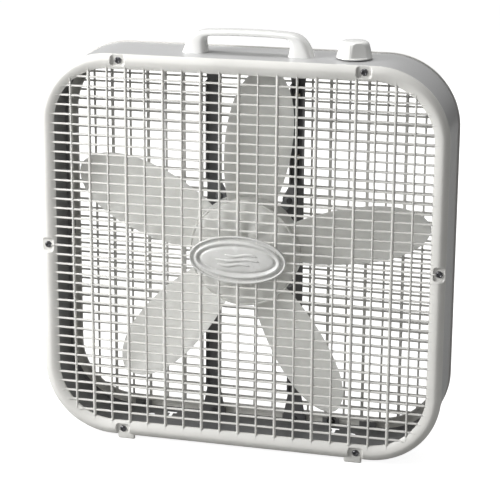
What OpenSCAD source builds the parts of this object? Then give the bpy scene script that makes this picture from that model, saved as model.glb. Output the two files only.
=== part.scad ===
// A box fan: a steel housing wrap between two moulded grilles, a five-bladed
// impeller on a shaded-pole motor held by two struts, a carrying handle and a
// rotary speed switch. Front is -Y, up is +Z, the feet stand on z = 0.

/* [Body] */
// Width over the grille borders
body_w = 546; // [500:2:660]
// Height over the grille borders, without feet and handle
body_h = 532; // [500:2:650]
// Depth from the front border to the rear border
body_d = 111; // [106:1:140]
// Radius of the grille's outer corners
corner_r = 96; // [75:1:115]

/* [Housing] */
// Sheet thickness of the housing wrap
sheet_t = 1; // [0.7:0.1:1.4]
// Step of the wrap in from the edge of the grilles
shell_inset = 1.5; // [1:0.1:3]
// Width of the flanges behind the grilles
flange_w = 5; // [4:0.5:10]
// Width of the tabs on the flanges that screws go through
tab_w = 12; // [11:0.5:14]
// Distance of each foot hole from the middle
foot_hole_x = 144; // [125:1:160]
// Diameter of the foot holes
foot_hole_d = 10; // [6:0.5:12]
// Distance of each foot slot from the middle
foot_slot_x = 117; // [90:1:122]

/* [Grilles] */
// Width of the grille border
border_w = 20; // [18:0.5:24]
// Depth of the grille border
border_d = 9; // [8:0.5:11]
// Wall of the moulded border
border_wall = 2.2; // [1.6:0.1:3]
// Spacing of the upright bars
upright_pitch = 25.4; // [20:0.2:32]
// Spacing of the cross bars
cross_pitch = 13; // [10:0.2:16]
// Width of every second upright bar
wide_bar = 4; // [3:0.1:5]
// Width of the uprights between them
narrow_bar = 2.6; // [2:0.1:3.5]
// Width of the cross bars
cross_bar = 2.6; // [2:0.1:3.5]
// Depth of the bars
bar_d = 4; // [3:0.1:5]
// Distance of the screws in from the grille's edge
screw_inset = 8.2; // [8:0.1:9]
// Distance of the upper and lower screws from the middle
screw_x = 162; // [130:1:165]
// Diameter of the grille screws
screw_d = 3.8; // [3:0.1:4.2]

/* [Feet] */
// Height of the foot tabs under the border
foot_h = 6; // [4:0.5:12]
// Width of the foot tabs
foot_w = 23.5; // [16:0.5:32]
// Distance of the foot tabs from the middle
foot_x = 158; // [120:1:165]

/* [Badge] */
// Width of the oval badge
badge_w = 131; // [100:1:150]
// Height of the oval badge
badge_h = 65; // [50:1:80]
// Thickness of the badge
badge_t = 3; // [2:0.1:3]

/* [Impeller] */
// Radius at the blade tips
blade_r = 252; // [200:1:253]
// Number of blades
blade_count = 5; // [3:1:6]
// Angle of the first blade from level
blade_start = 11.5; // [0:0.5:72]
// Widest half chord of a blade
blade_half = 47; // [30:1:50]
// Thickness of the blades
blade_t = 2.2; // [1.6:0.1:3]
// Radius of the impeller hub
hub_r = 74; // [66:1:80]
// Length of the hub along the shaft
hub_l = 38; // [34:1:40]
// Wall of the hub
hub_wall = 2.2; // [1.6:0.1:3]

/* [Motor] */
// Radius of the stator laminations
stator_r = 44; // [42:0.5:48]
// Thickness of the lamination stack
stack_l = 22; // [18:1:24]
// Radius of the rotor
rotor_r = 20; // [18:0.5:20]
// Gap between rotor and stator
air_gap = 0.5; // [0.4:0.1:0.8]
// Diameter of the motor shaft
shaft_d = 8; // [6:0.5:9]
// Running clearance of the shaft in its bearings
shaft_gap = 0.03; // [0.02:0.01:0.08]
// Distance of each strut from the middle
strut_x = 58; // [56:1:64]
// Width of the struts
strut_w = 18.5; // [16:0.5:22]
// Sheet thickness of the struts
strut_t = 1.6; // [1.2:0.1:2]

/* [Handle] */
// Length of the handle
handle_l = 176; // [140:2:200]
// Height of the handle above the housing
handle_h = 32; // [30:1:45]
// Width of the handle from front to back
handle_w = 30; // [24:1:40]
// Thickness of the grip
grip_t = 8; // [6:0.5:10]
// Width of the handle's posts
post_w = 31; // [26:1:36]

/* [Speed switch] */
// Distance of the knob from the middle
knob_x = 140; // [128:1:146]
// Diameter of the knob at its foot
knob_d = 47; // [38:1:50]
// Diameter of the knob at its top
knob_top_d = 36; // [28:1:36]
// Height of the knob
knob_h = 22; // [18:1:28]
// Gap between the knob and the housing
knob_lift = 2; // [1:0.5:4]

/* [Hidden] */
$fn = 64;
eps = 0.01;
mid_z = foot_h + body_h / 2;
seat_y = body_d / 2 - border_d;
shell_w = body_w - 2 * shell_inset;
shell_h = body_h - 2 * shell_inset;
shell_r = corner_r - shell_inset;
shell_top = mid_z + shell_h / 2;
shell_bottom = mid_z - shell_h / 2;
roof_z = shell_top - sheet_t;
floor_z = shell_bottom + sheet_t;
screw_r = screw_d / 2;
screw_head_r = 4.6;
screw_head_h = 2.6;
screw_len = 13;
well_floor = 4.4;
well = [17, 13];
bar_back = 2;
bar_front = bar_back + bar_d;
opening_w = body_w - 2 * border_w;
opening_h = body_h - 2 * border_w;
opening_r = corner_r - border_w;
bar_bite = 5;
uprights = floor((opening_w / 2 - 4) / upright_pitch);
cross_bars = floor((opening_h / 2 - 4) / cross_pitch);
peg_x = 1.5 * upright_pitch;
peg_z = cross_pitch / 2;
peg_r = 1.8;
peg_out = 1.6;

// Places along the shaft, from the front
hub_front = -32;
hub_back = hub_front + hub_l;
blade_y = -8;
hub_dome = 10;
stations = 12;
chords = 8;
shaft_r = shaft_d / 2;
shaft_front = hub_front - 3.5;
motor_front = 0;
bearing_l = 11;
bearing_out = 2.6;
front_bearing_y = -8;
stack_front = 10;
stack_back = stack_front + stack_l;
overhang = 6;
fuse_t = 1.4;
shield_t = 2.4;
strut_y = seat_y - sheet_t - strut_t;
shield_back = strut_y;
rear_bearing_y = shield_back + bearing_out - bearing_l;
shaft_back = rear_bearing_y + bearing_l - 2;
bearing_r = 7;
boss_r = 11;
bolt_r = 2;
vent_ring = 25;
vent_r = 5;
bolt_ring = stator_r - 4.5;
core_ring = 9;
pole_w = 16;
coil_t = 6;
shoe_r = 25;
shade_in = 7;
shade_out = 14;
shade_t = 2;
ear_x = strut_x - 10;
ear_z = 58;
ear_r = 7;
arm_half = 6;
gusset_x = strut_x - 20;
gusset_z = 67;
strut_top = roof_z - 0.5;
strut_foot = floor_z + 0.5;
strut_bolt = 5.5;
flare_w = 30;
flare_h = 30;
foot_pad = 12;
strut_rib = 9;
handle_screw_x = handle_l / 2 - post_w / 2 - 2;
handle_round = 18;
handle_rise = 2;
foot_hole_y = 23;
tab_l = 24;

// Switch
nut_h = 2.5;
nut_r = 8.1;
thread_r = 4.7;
spindle_r = 3;
switch_size = [32, 28, 18];
spindle_top = shell_top + knob_lift + knob_h - 6;
lead_r = 2.6;
lead_angle = 20;
lead_out_y = stack_back + 5;
clip_gap = 1;
clip_l = 6;
channel_y = strut_y - lead_r - clip_gap;
under_roof = roof_z - lead_r - clip_gap;
roof_run_y = 8;

// Cord inlet in the rear border
grommet_x = 110;
grommet_z = foot_h + 9;
grommet_r = 4.4;
grommet_seat = 6.2;
cord_bore_r = 3.2;

// ---- Profiles swept round the rounded rectangle ----

// One straight run along X, with profile points as [inward, forward]
module straight_run(length, profile) {
    rotate([90, 0, 90])
        linear_extrude(height = length, center = true)
            polygon([for (p = profile) [-p[1], -p[0]]]);
}

// A quarter turn about Y, with its profile hanging inward from radius r
module corner_run(r, profile) {
    rotate([90, 0, 0])
        rotate_extrude(angle = 90)
            polygon([for (p = profile) [r - p[0], p[1]]]);
}

// The profile carried all round a w by h rectangle with corner radius r
module ring_sweep(w, h, r, profile) {
    for (side = [0, 1]) {
        rotate([0, 180 * side, 0])
            translate([0, 0, h / 2])
                straight_run(w - 2 * r, profile);
        rotate([0, 90 + 180 * side, 0])
            translate([0, 0, w / 2])
                straight_run(h - 2 * r, profile);
    }
    for (mx = [0, 1], mz = [0, 1])
        mirror([mx, 0, 0])
            mirror([0, 0, mz])
                translate([w / 2 - r, 0, h / 2 - r])
                    corner_run(r, profile);
}

// Half length of a bar at offset u inside a rounded opening
function reach(u, half_u, half_v, r) =
    abs(u) <= half_u - r ? half_v
    : half_v - r + sqrt(max(0, r * r - pow(abs(u) - half_u + r, 2)));

// Outer face of the border: upright edge, crowned front, lip at the opening
function crown(inset) = [
    for (i = [0 : 8])
        let (a = 180 - i * 22.5)
        [border_w / 2 + (border_w / 2 - inset) * cos(a),
         border_d - 4 + (4 - inset) * sin(a)]];
function border_profile() = concat(
    [[0, 0]],
    crown(0),
    [[border_w, bar_back]],
    [[border_w - border_wall, bar_back]],
    [for (i = [8 : -1 : 0]) crown(border_wall)[i]],
    [[border_wall, 0]]);
function boss_profile() = concat(
    [[0.4, 0]], crown(0.4), [[border_w - 0.4, bar_back], [border_w - 3, 0]]);

// Places of the six screws: [x, z, angle about Y of the border they sit in]
function screw_spots() = [
    for (sx = [-1, 1], sz = [-1, 1])
        [sx * screw_x, mid_z + sz * (body_h / 2 - screw_inset), sz > 0 ? 0 : 180],
    for (sx = [-1, 1])
        [sx * (body_w / 2 - screw_inset), mid_z, sx * 90]];

// ---- Housing ----

module housing_shell() {
    depth = seat_y;
    c = [[0, -depth], [flange_w, -depth], [flange_w, sheet_t - depth], [sheet_t, sheet_t - depth],
         [sheet_t, depth - sheet_t], [flange_w, depth - sheet_t], [flange_w, depth], [0, depth]];
    color("#c4c4c2") difference() {
        translate([0, 0, mid_z]) {
            ring_sweep(shell_w, shell_h, shell_r, c);
            flange_tabs(screw_tabs(), depth - sheet_t);
            flange_tabs(concat(screw_tabs(), strut_tabs()), -depth);
        }
        for (s = screw_spots(), side = [-1, 1])
            translate([s[0], side * depth, s[1]])
                rotate([90, 0, 0])
                    cylinder(r = screw_r, h = 6 * sheet_t, center = true);
        for (sx = [-1, 1]) {
            translate([sx * foot_hole_x, foot_hole_y, shell_bottom])
                cylinder(d = foot_hole_d, h = 6 * sheet_t, center = true);
            translate([sx * foot_slot_x, foot_hole_y, shell_bottom])
                foot_slot();
        }
        for (s = handle_screw_spots())
            translate([s[0], s[1], roof_z])
                cylinder(r = screw_r, h = 6 * sheet_t, center = true);
        translate([knob_x, 0, roof_z])
            cylinder(r = thread_r, h = 6 * sheet_t, center = true);
        translate([grommet_x, seat_y, grommet_z])
            rotate([90, 0, 0])
                cylinder(r = grommet_r, h = 6 * sheet_t, center = true);
        for (s = strut_screw_spots())
            translate([s[0], seat_y, s[1]])
                rotate([90, 0, 0])
                    cylinder(r = screw_r, h = 6 * sheet_t, center = true);
    }
}
// Where the flanges are wider: [x, z, turn about Y, length], from the middle
function screw_tabs() = [
    for (sx = [-1, 1], sz = [-1, 1])
        [sx * screw_x, sz * shell_h / 2, sz > 0 ? 0 : 180, tab_l],
    for (sx = [-1, 1])
        [sx * shell_w / 2, 0, sx * 90, tab_l]];
function strut_tabs() = [
    for (sx = [-1, 1], sz = [-1, 1])
        [sx * strut_x, sz * shell_h / 2, sz > 0 ? 0 : 180, flare_w + 4],
    [grommet_x, -shell_h / 2, 180, tab_l]];
// Flat tabs whose back face stands q in front of the middle plane
module flange_tabs(spots, q) {
    for (s = spots)
        translate([s[0], 0, s[1]])
            rotate([0, s[2], 0])
                straight_run(s[3], [[sheet_t / 2, q], [tab_w, q],
                                    [tab_w, q + sheet_t], [sheet_t / 2, q + sheet_t]]);
}
// A T-shaped slot for a clip-on foot, its cross bar to the back
module foot_slot() {
    translate([0, 2.5, 0])
        cube([5, 17, 6 * sheet_t], center = true);
    translate([0, 13, 0])
        cube([14, 6, 6 * sheet_t], center = true);
}

// ---- Grilles ----

// The front grille, seated at y = 0 and facing -Y, centred on z = 0
module grille() {
    ring_sweep(body_w, body_h, corner_r, border_profile());
    grid();
}

module grid() {
    for (i = [-uprights : uprights]) {
        x = i * upright_pitch;
        half = reach(x, opening_w / 2, opening_h / 2, opening_r) + bar_bite;
        w = i % 2 == 0 ? wide_bar : narrow_bar;
        translate([x - w / 2, -bar_front, -half])
            cube([w, bar_d, 2 * half]);
    }
    for (k = [-cross_bars : cross_bars]) {
        z = k * cross_pitch;
        half = reach(z, opening_h / 2, opening_w / 2, opening_r) + bar_bite;
        translate([-half, -bar_front + 0.6, z - cross_bar / 2])
            cube([2 * half, bar_d - 1.2, cross_bar]);
    }
}

module screw_boss() {
    straight_run(well[0] + 5, boss_profile());
}

module screw_well() {
    translate([-well[0] / 2, -border_d - 1, -screw_inset - well[1] / 2])
        cube([well[0], border_d + 1 - well_floor, well[1]]);
    translate([0, 1, -screw_inset])
        rotate([90, 0, 0])
            cylinder(r = screw_r + 0.2, h = border_d);
}

module foot_tab() {
    translate([-foot_w / 2, -border_d + 1, -foot_h])
        cube([foot_w, border_d - 1, foot_h + border_wall]);
}

// Each well and boss is drawn at a border's outer edge, then carried to its place
module at_screws() {
    for (s = screw_spots())
        translate([s[0], 0, s[1] - mid_z])
            rotate([0, s[2], 0])
                translate([0, 0, screw_inset])
                    children();
}

module whole_grille() {
    difference() {
        union() {
            grille();
            at_screws()
                screw_boss();
            for (sx = [-1, 1])
                translate([sx * foot_x, 0, -body_h / 2])
                    foot_tab();
        }
        at_screws()
            screw_well();
    }
}

module front_grille() {
    color("#e6e5e0") translate([0, -seat_y, mid_z])
        whole_grille();
}

// The rear grille is the same moulding with a seat for the cord grommet
module rear_grille() {
    color("#e6e5e0") translate([0, seat_y, mid_z])
        mirror([0, 1, 0])
            difference() {
                union() {
                    whole_grille();
                    translate([grommet_x, 0, -body_h / 2])
                        rotate([0, 180, 0])
                            screw_boss();
                }
                translate([grommet_x, 1, grommet_z - mid_z])
                    rotate([90, 0, 0]) {
                        cylinder(r = grommet_r, h = border_d + 2);
                        translate([0, 0, grommet_seat + 1])
                            cylinder(r = grommet_r + 2.5, h = border_d);
                    }
            }
}

module grille_screw() {
    rotate([90, 0, 0]) {
        translate([0, 0, well_floor])
            cylinder(r1 = screw_head_r, r2 = screw_head_r - 1.2, h = screw_head_h);
        translate([0, 0, well_floor - screw_len])
            cylinder(r = screw_r, h = screw_len + eps);
    }
}

module front_grille_screws() {
    color("#3a3a3c")
        for (s = screw_spots())
            translate([s[0], -seat_y, s[1]])
                grille_screw();
}

module rear_grille_screws() {
    color("#3a3a3c")
        for (s = screw_spots())
            translate([s[0], seat_y, s[1]])
                mirror([0, 1, 0])
                    grille_screw();
}

// ---- Badge ----

// An oval as a polygon, a and b its half axes
module oval(a, b, h) {
    rotate([90, 0, 0])
        linear_extrude(height = h)
            polygon([for (i = [0 : 59]) [a * cos(6 * i), b * sin(6 * i)]]);
}

module badge_plate() {
    back = -seat_y - bar_front;
    color("#eeeeea") translate([0, back, mid_z]) {
        difference() {
            oval(badge_w / 2, badge_h / 2, badge_t);
            translate([0, -badge_t / 2, 0])
                difference() {
                    oval(badge_w / 2 - 4, badge_h / 2 - 4, badge_t);
                    oval(badge_w / 2 - 9, badge_h / 2 - 8, badge_t);
                }
        }
        for (sx = [-1, 1])
            translate([sx * peg_x, bar_d + peg_out, peg_z])
                rotate([90, 0, 0])
                    cylinder(r = peg_r, h = bar_d + peg_out + eps);
    }
}

module badge_clips() {
    color("#8d8f92") translate([0, -seat_y - bar_back, mid_z])
        for (sx = [-1, 1])
            translate([sx * peg_x, 0.8, peg_z])
                rotate([90, 0, 0])
                    difference() {
                        cylinder(r = cross_pitch / 2 + 1, h = 0.8);
                        translate([0, 0, -1])
                            cylinder(r = peg_r, h = 3);
                    }
}

// ---- Handle ----

function handle_screw_spots() = [for (sx = [-1, 1]) [sx * handle_screw_x, 0]];

// Side view of the handle: arched outside, a long window under the grip
module handle_outline() {
    half = handle_l / 2;
    rise = handle_rise;
    curl = handle_round;
    shoulder = half - curl - 4;
    polygon(concat(
        [[half, 0]],
        [for (i = [0 : 6]) let (a = 15 * i)
            [shoulder + curl * cos(a), handle_h - rise - curl + curl * sin(a)]],
        [for (i = [-6 : 6]) let (x = -i / 7 * shoulder)
            [x, handle_h - rise * pow(x / shoulder, 2)]],
        [for (i = [6 : -1 : 0]) let (a = 15 * i)
            [-shoulder - curl * cos(a), handle_h - rise - curl + curl * sin(a)]],
        [[-half, 0]],
        [[-half + post_w, 0]],
        [[-half + post_w + 2, handle_h - grip_t - rise - 4]],
        [[-half + post_w + 6, handle_h - grip_t - rise]],
        [for (i = [-3 : 3]) let (x = i / 4 * (half - post_w - 6))
            [x, handle_h - grip_t - rise * pow(x / shoulder, 2)]],
        [[half - post_w - 6, handle_h - grip_t - rise]],
        [[half - post_w - 2, handle_h - grip_t - rise - 4]],
        [[half - post_w, 0]]));
}

module carry_handle() {
    color("#eeede9") translate([0, 0, shell_top])
        difference() {
            rotate([90, 0, 0])
                linear_extrude(height = handle_w, center = true)
                    handle_outline();
            for (s = handle_screw_spots())
                translate([s[0], s[1], -1])
                    cylinder(r = screw_r, h = 15);
        }
}

module handle_screws() {
    color("#8d8f92")
        for (s = handle_screw_spots())
            translate([s[0], s[1], roof_z]) {
                cylinder(r = screw_r, h = 13);
                translate([0, 0, -screw_head_h])
                    cylinder(r1 = screw_head_r - 1, r2 = screw_head_r, h = screw_head_h);
            }
}

// ---- Struts ----

function strut_screw_spots() = [
    for (sx = [-1, 1], z = [strut_foot + strut_bolt, strut_top - strut_bolt])
        [sx * strut_x, z]];

// Flat outline of the right strut: flared ends and a gusset towards the motor
module strut_outline() {
    half = strut_w / 2;
    polygon([
        [strut_x - flare_w / 2, strut_foot], [strut_x + flare_w / 2, strut_foot],
        [strut_x + flare_w / 2, strut_foot + foot_pad],
        [strut_x + half, strut_foot + foot_pad + flare_h],
        [strut_x + half, strut_top - foot_pad - flare_h],
        [strut_x + flare_w / 2, strut_top - foot_pad],
        [strut_x + flare_w / 2, strut_top], [strut_x - flare_w / 2, strut_top],
        [strut_x - flare_w / 2, strut_top - foot_pad],
        [strut_x - half, strut_top - foot_pad - flare_h],
        [strut_x - half, mid_z + gusset_z + 14],
        [gusset_x, mid_z + gusset_z - 6],
        [gusset_x, mid_z + ear_z - 9],
        [strut_x - half, mid_z + ear_z - 30],
        [strut_x - half, mid_z - ear_z + 30],
        [gusset_x, mid_z - ear_z + 9],
        [gusset_x, mid_z - gusset_z + 6],
        [strut_x - half, mid_z - gusset_z - 14],
        [strut_x - half, strut_foot + foot_pad + flare_h],
        [strut_x - flare_w / 2, strut_foot + foot_pad]]);
}

module motor_strut_right() {
    rib_from = mid_z + gusset_z + 16;
    rib_to = strut_top - 14 - flare_h;
    color("#58585a") difference() {
        union() {
            translate([0, strut_y + strut_t, 0])
                rotate([90, 0, 0])
                    linear_extrude(height = strut_t)
                        strut_outline();
            for (side = [0, 1], rib = [0, 1])
                translate([0, 0, mid_z])
                    mirror([0, 0, side])
                        translate([strut_x - strut_w / 2 + rib * (strut_w - strut_t),
                                   strut_y - strut_rib, rib_from - mid_z])
                            cube([strut_t, strut_rib + eps, rib_to - rib_from]);
        }
        for (s = strut_screw_spots())
            translate([s[0], strut_y + strut_t / 2, s[1]])
                rotate([90, 0, 0])
                    cylinder(r = screw_r, h = 4 * strut_t, center = true);
        for (sz = [-1, 1])
            translate([ear_x, strut_y + strut_t / 2, mid_z + sz * ear_z])
                rotate([90, 0, 0])
                    cylinder(r = screw_r, h = 4 * strut_t, center = true);
    }
}

module motor_strut_left() {
    mirror([1, 0, 0])
        motor_strut_right();
}

// Screws from inside, through the strut's foot into the rear flange
module strut_screws() {
    color("#3a3a3c")
        for (s = strut_screw_spots())
            translate([s[0], strut_y, s[1]])
                rotate([90, 0, 0]) {
                    cylinder(r1 = screw_head_r - 0.4, r2 = screw_head_r - 1.2, h = 2.2);
                    translate([0, 0, -strut_t - sheet_t])
                        cylinder(r = screw_r, h = strut_t + sheet_t + eps);
                }
}

// ---- Motor, centred on the shaft: along() puts its own z axis along +Y ----

module along(y) {
    translate([0, y, mid_z])
        rotate([-90, 0, 0])
            children();
}

module round_bolts(r, h) {
    for (a = [45 : 90 : 315])
        rotate([0, 0, a])
            translate([bolt_ring, 0, 0])
                cylinder(r = r, h = h);
}

module at_ears() {
    for (sx = [-1, 1], sz = [-1, 1])
        translate([sx * ear_x, sz * ear_z, 0])
            children();
}

module motor_rear_shield() {
    skirt = shield_back - shield_t - stack_back;
    arm_l = norm([ear_x, ear_z]);
    arm_a = atan(ear_z / ear_x);
    color("#a9abad") along(stack_back) difference() {
        union() {
            difference() {
                cylinder(r = stator_r, h = skirt + shield_t);
                translate([0, 0, -1])
                    cylinder(r = stator_r - 2, h = skirt + 1);
            }
            translate([0, 0, skirt]) {
                for (a = [arm_a, 180 - arm_a, 180 + arm_a, -arm_a])
                    rotate([0, 0, a])
                        translate([0, -arm_half, 0])
                            cube([arm_l, 2 * arm_half, shield_t]);
                at_ears()
                    cylinder(r = ear_r, h = shield_t);
            }
            translate([0, 0, rear_bearing_y - stack_back])
                cylinder(r = boss_r, h = bearing_l);
        }
        translate([0, 0, rear_bearing_y - stack_back - 1])
            cylinder(r = bearing_r, h = bearing_l + 5);
        translate([0, 0, -1])
            round_bolts(bolt_r + 0.1, shield_back - stack_back + 3);
        at_ears()
            translate([0, 0, skirt - 1])
                cylinder(r = screw_r, h = shield_t + 3);
        for (a = [0 : 90 : 270])
            rotate([0, 0, a])
                translate([vent_ring, 0, skirt - 1])
                    cylinder(r = vent_r, h = shield_t + 3);
        rotate([0, 0, -lead_angle])
            translate([stator_r - 5, 0, lead_out_y - stack_back])
                rotate([0, 90, 0])
                    cylinder(r = lead_r + 0.4, h = 10);
    }
}

module motor_front_shield() {
    depth = stack_front - motor_front;
    color("#a9abad") along(motor_front) difference() {
        union() {
            difference() {
                cylinder(r = stator_r, h = depth);
                translate([0, 0, shield_t])
                    cylinder(r = stator_r - 2, h = depth);
            }
            translate([0, 0, front_bearing_y - motor_front])
                cylinder(r = boss_r, h = bearing_l);
        }
        translate([0, 0, front_bearing_y - motor_front - 1])
            cylinder(r = bearing_r, h = bearing_l + 5);
        translate([0, 0, -1])
            round_bolts(bolt_r + 0.1, depth + 3);
        for (a = [0 : 45 : 315])
            rotate([0, 0, a + 22.5])
                translate([vent_ring, 0, -1])
                    cylinder(r = vent_r, h = shield_t + 3);
    }
}

module pole_box(r0, r1, half_t0, half_t1, y0, y1) {
    for (a = [0 : 90 : 270])
        rotate([0, 0, a])
            translate([r0, half_t0, y0])
                cube([r1 - r0, half_t1 - half_t0, y1 - y0]);
}

module stator_core() {
    ring_in = stator_r - core_ring;
    color("#6d7073") along(stack_front) difference() {
        union() {
            difference() {
                cylinder(r = stator_r, h = stack_l);
                translate([0, 0, -1])
                    cylinder(r = ring_in, h = stack_l + 2);
            }
            pole_box(rotor_r - 2, ring_in + 2, -pole_w / 2, pole_w / 2, 0, stack_l);
            pole_box(rotor_r - 2, shoe_r, -shade_out, shade_out, 0, stack_l);
        }
        translate([0, 0, -1])
            cylinder(r = rotor_r + air_gap, h = stack_l + 2);
        pole_box(rotor_r, shoe_r, shade_in - shade_t, shade_in, -1, stack_l + 1);
        translate([0, 0, -1])
            round_bolts(bolt_r, stack_l + 2);
    }
}

module shading_rings() {
    r0 = rotor_r + 2;
    color("#b8733f") along(stack_front) difference() {
        pole_box(r0, shoe_r, shade_in - shade_t, shade_out + shade_t, -shade_t, stack_l + shade_t);
        pole_box(r0 - 1, shoe_r + 1, shade_in, shade_out, 0, stack_l);
    }
}

module stator_windings() {
    outer = pole_w / 2 + coil_t;
    r0 = shoe_r + 0.6;
    r1 = sqrt(pow(stator_r - core_ring - 0.4, 2) - outer * outer);
    color("#a4552a") along(stack_front) difference() {
        pole_box(r0, r1, -outer, outer, -overhang, stack_l + overhang);
        pole_box(r0 - 1, r1 + 1, -pole_w / 2, pole_w / 2, 0, stack_l);
    }
}

// A small thermal cut-out tied against one coil's front end
module thermal_fuse() {
    color("#d8d4c8") along(stack_front - overhang - fuse_t)
        translate([shoe_r + 1, -6, 0])
            cube([5, 12, fuse_t]);
}

module motor_bolts() {
    color("#8d8f92") along(motor_front) {
        round_bolts(bolt_r, shield_back - motor_front + 3.6);
        translate([0, 0, -2.4])
            round_bolts(3.6, 2.4 + eps);
    }
}

module motor_nuts() {
    color("#8d8f92") along(shield_back) difference() {
        for (a = [45 : 90 : 315])
            rotate([0, 0, a])
                translate([bolt_ring, 0, 0])
                    cylinder(r = 3.8, h = 2.8, $fn = 6);
        translate([0, 0, -1])
            round_bolts(bolt_r, 6);
    }
}

module motor_mount_screws() {
    color("#3a3a3c") along(shield_back - shield_t)
        at_ears() {
            translate([0, 0, -eps])
                cylinder(r = screw_r, h = shield_t + strut_t + 2);
            translate([0, 0, -2.2])
                cylinder(r1 = screw_head_r - 1.2, r2 = screw_head_r - 0.4, h = 2.2);
        }
}

module sleeve(y) {
    color("#b58a4c") along(y) difference() {
        cylinder(r = bearing_r, h = bearing_l);
        translate([0, 0, -1])
            cylinder(r = shaft_r + shaft_gap, h = bearing_l + 2);
    }
}

module front_bearing() {
    sleeve(front_bearing_y);
}

module rear_bearing() {
    sleeve(rear_bearing_y);
}

// ---- Rotor ----

module motor_shaft() {
    color("#b9bcbf") along(shaft_front)
        cylinder(r = shaft_r, h = shaft_back - shaft_front);
}

module rotor_core() {
    color("#7b7e81") along(stack_front) difference() {
        cylinder(r = rotor_r, h = stack_l);
        translate([0, 0, -1])
            cylinder(r = shaft_r, h = stack_l + 2);
    }
}

module rotor_cage() {
    ring_h = 3;
    color("#c2c5c8") along(stack_front)
        for (z = [-ring_h, stack_l])
            translate([0, 0, z])
                difference() {
                    cylinder(r = rotor_r - 1, h = ring_h);
                    translate([0, 0, -1])
                        cylinder(r = boss_r + 1, h = ring_h + 2);
                }
}

module thrust_washers() {
    front = front_bearing_y + bearing_l + 0.3;
    back = rear_bearing_y - 0.3;
    color("#e8e2d0")
        for (y = [[front, stack_front], [stack_back, back]])
            along(y[0]) difference() {
                cylinder(r = bearing_r, h = y[1] - y[0]);
                translate([0, 0, -1])
                    cylinder(r = shaft_r, h = y[1] - y[0] + 2);
            }
}

// Chord, place and slope of the blade at a share t from hub to tip
function bow(t, a, b, c, d) =
    a * pow(1 - t, 3) + 3 * b * t * pow(1 - t, 2) + 3 * c * t * t * (1 - t) + d * pow(t, 3);
function blade_at_r(t) =
    let (root = hub_r - hub_wall + 0.6)
    root + (blade_r - root) * bow(t, 0, 0.36, 0.92, 1);
function blade_half_at(t) = bow(t, 30, blade_half + 3, blade_half + 4, 3);
function blade_slope(t) = 0.42 - 0.18 * t;
function blade_point(t, s, lift) =
    let (r = blade_at_r(t), n = s * blade_half_at(t), a = n / r * 180 / PI,
         cup = 5 * (1 - s * s) * blade_half_at(t) / blade_half)
    [r * cos(a), r * sin(a), lift + blade_slope(t) * n - cup + 1];

module blade() {
    n = chords + 1;
    m = (stations + 1) * n;
    function skin(lift) = [for (i = [0 : stations], j = [0 : chords])
        blade_point(i / stations, 2 * j / chords - 1, lift)];
    function quad(a, b, c, d) = [[a, c, b], [a, d, c]];
    points = concat(skin(-blade_t / 2), skin(blade_t / 2));
    low = [for (i = [0 : stations - 1], j = [0 : chords - 1])
        let (k = i * n + j) each quad(k, k + 1, k + n + 1, k + n)];
    high = [for (i = [0 : stations - 1], j = [0 : chords - 1])
        let (k = m + i * n + j) each quad(k, k + n, k + n + 1, k + 1)];
    ends = [for (j = [0 : chords - 1], e = [0, 1])
        let (k = e * stations * n + j)
        each (e == 0 ? quad(k, k + m, k + m + 1, k + 1) : quad(k, k + 1, k + m + 1, k + m))];
    sides = [for (i = [0 : stations - 1], e = [0, 1])
        let (k = i * n + e * chords)
        each (e == 0 ? quad(k, k + n, k + n + m, k + m) : quad(k, k + m, k + n + m, k + n))];
    polyhedron(points = points, faces = concat(low, high, ends, sides));
}

// Hub wall: a domed cup open at the back, drawn as [radius, height to the front]
function dome_profile(r, top) = [
    for (i = [0 : 6]) let (a = 15 * i)
        [r * sin(90 - a) , top - hub_dome + hub_dome * sin(a)]];
module hub() {
    boss = 9;
    rotate_extrude()
        polygon(concat(
            [[hub_r, 0]],
            [for (p = dome_profile(hub_r, hub_l)) [max(p[0], 0), p[1]]],
            [for (i = [6 : -1 : 0]) let (p = dome_profile(hub_r - hub_wall, hub_l - hub_wall)[i])
                [max(p[0], 0), p[1]]],
            [[hub_r - hub_wall, 0]]));
    translate([0, 0, hub_l - 18])
        cylinder(r = boss, h = 17);
}

// Drawn with its front along +z, then turned so that the front looks along -Y
module fan_blade() {
    color("#b9b9b5") translate([0, hub_back, mid_z])
        rotate([90, 0, 0])
            difference() {
                union() {
                    hub();
                    for (i = [0 : blade_count - 1])
                        rotate([0, 0, blade_start + i * 360 / blade_count])
                            translate([0, 0, hub_back - blade_y])
                                blade();
                }
                translate([0, 0, -1])
                    cylinder(r = shaft_r, h = hub_l + 2);
            }
}

module blade_clip() {
    color("#8d8f92") along(hub_front - 1.6) difference() {
        cylinder(r = 8, h = 1.6);
        translate([0, 0, -1])
            cylinder(r = shaft_r, h = 4);
    }
}

// ---- Speed switch ----

module speed_knob() {
    foot = knob_d / 2;
    top = knob_top_d / 2;
    wall = 2.2;
    color("#eeede9") translate([knob_x, 0, shell_top + knob_lift]) difference() {
        union() {
            difference() {
                rotate_extrude()
                    polygon([[0, 0], [foot, 0], [foot, 1.5], [top + 1, knob_h - 4],
                             [top - 1.5, knob_h - 1.2], [top - 6, knob_h], [0, knob_h]]);
                translate([0, 0, -1])
                    cylinder(r1 = foot - wall, r2 = top - wall, h = knob_h - 3);
            }
            translate([0, 0, nut_h])
                cylinder(r = 6.5, h = knob_h - nut_h - 2);
        }
        translate([0, 0, -1])
            cylinder(r = spindle_r, h = spindle_top - shell_top - knob_lift + 1);
    }
}

module switch_spindle() {
    color("#b9bcbf") translate([knob_x, 0, roof_z - 10])
        cylinder(r = spindle_r, h = spindle_top - roof_z + 10);
}

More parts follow.
